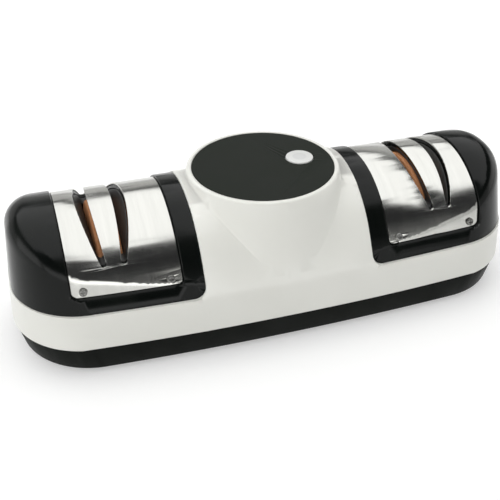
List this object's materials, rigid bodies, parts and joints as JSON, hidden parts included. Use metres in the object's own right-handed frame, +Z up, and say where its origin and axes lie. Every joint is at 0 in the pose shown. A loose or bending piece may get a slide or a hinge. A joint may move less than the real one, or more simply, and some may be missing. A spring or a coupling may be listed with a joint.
{
  "type": "electric knife sharpener",
  "caption": "Free-standing electric knife sharpener: arched housing, a sharpening stage at each end under slotted steel plates, and a round turret with a push button in the middle.",
  "frame": {"origin": "middle of the footprint, at the height of the surface that the rubber feet stand on", "axes": "+X along the length, towards the button's side; +Y to the back, where the cord enters; +Z up"},
  "size_m": [0.237, 0.0874, 0.0677],
  "materials": {
    "base_black": "fine texture",
    "body_white": "satin",
    "module_black": "gloss",
    "plate_steel": "brushed along the arch",
    "screw_steel": "plain",
    "guide_grey": "matte",
    "disc_black": "fine texture",
    "button_white": "satin",
    "board_brown": "laminate",
    "can_zinc": "zinc plated",
    "bush_bronze": "sintered",
    "magnet_ferrite": "ground",
    "brush_carbon": "pressed",
    "foot_rubber": "matte",
    "shaft_steel": "ground",
    "core_steel": "laminated",
    "winding_copper": "enamelled",
    "fan_plastic": "matte",
    "wheel_abrasive": "abrasive grit",
    "hub_aluminium": "turned",
    "lead_vinyl": "satin"
  },
  "bodies": {
    "housing": {"base_shell": "base_black", "centre_shell": "body_white", "left_module_shell": "module_black", "right_module_shell": "module_black", "left_guard_plate": "plate_steel", "right_guard_plate": "plate_steel", "guard_plate_screws": "screw_steel", "left_blade_guide": "guide_grey", "right_blade_guide": "guide_grey", "guide_screws": "screw_steel", "top_disc": "disc_black", "switch_body": "guide_grey", "switch_board": "board_brown", "switch_screws": "screw_steel", "motor_can": "can_zinc", "motor_end_bells": "can_zinc", "motor_bushes": "bush_bronze", "motor_magnets": "magnet_ferrite", "carbon_brushes": "brush_carbon", "brush_holders": "bush_bronze", "motor_rings": "foot_rubber", "motor_straps": "can_zinc", "strap_screws": "screw_steel", "end_bushes": "bush_bronze", "bush_caps": "guide_grey", "bush_cap_screws": "screw_steel", "cord_gland": "foot_rubber", "terminal_block": "button_white", "leads": "lead_vinyl", "rubber_feet": "foot_rubber", "base_screws": "screw_steel"},
    "rotor": {"motor_shaft": "shaft_steel", "armature_core": "core_steel", "armature_winding": "winding_copper", "commutator": "winding_copper", "cooling_fan": "fan_plastic", "coarse_wheel": "wheel_abrasive", "fine_wheel": "wheel_abrasive", "wheel_hubs": "hub_aluminium", "wheel_washers": "shaft_steel", "wheel_nuts": "shaft_steel"},
    "button": {"power_button": "button_white", "switch_plunger": "button_white", "button_spring": "screw_steel"}
  },
  "joints": [
    {"name": "rotor_spin", "type": "hinge", "parent": "housing", "child": "rotor", "pos_m": [0, 0, 0.0315], "axis": [1, 0, 0], "continuous": true},
    {"name": "button_press", "type": "slide", "parent": "housing", "child": "button", "axis": [0, 0, -1], "range_m": [0, 0.0015], "stiffness_N_per_m": 1200, "springref_m": -0.0012, "deforming": ["button_spring"]}
  ]
}
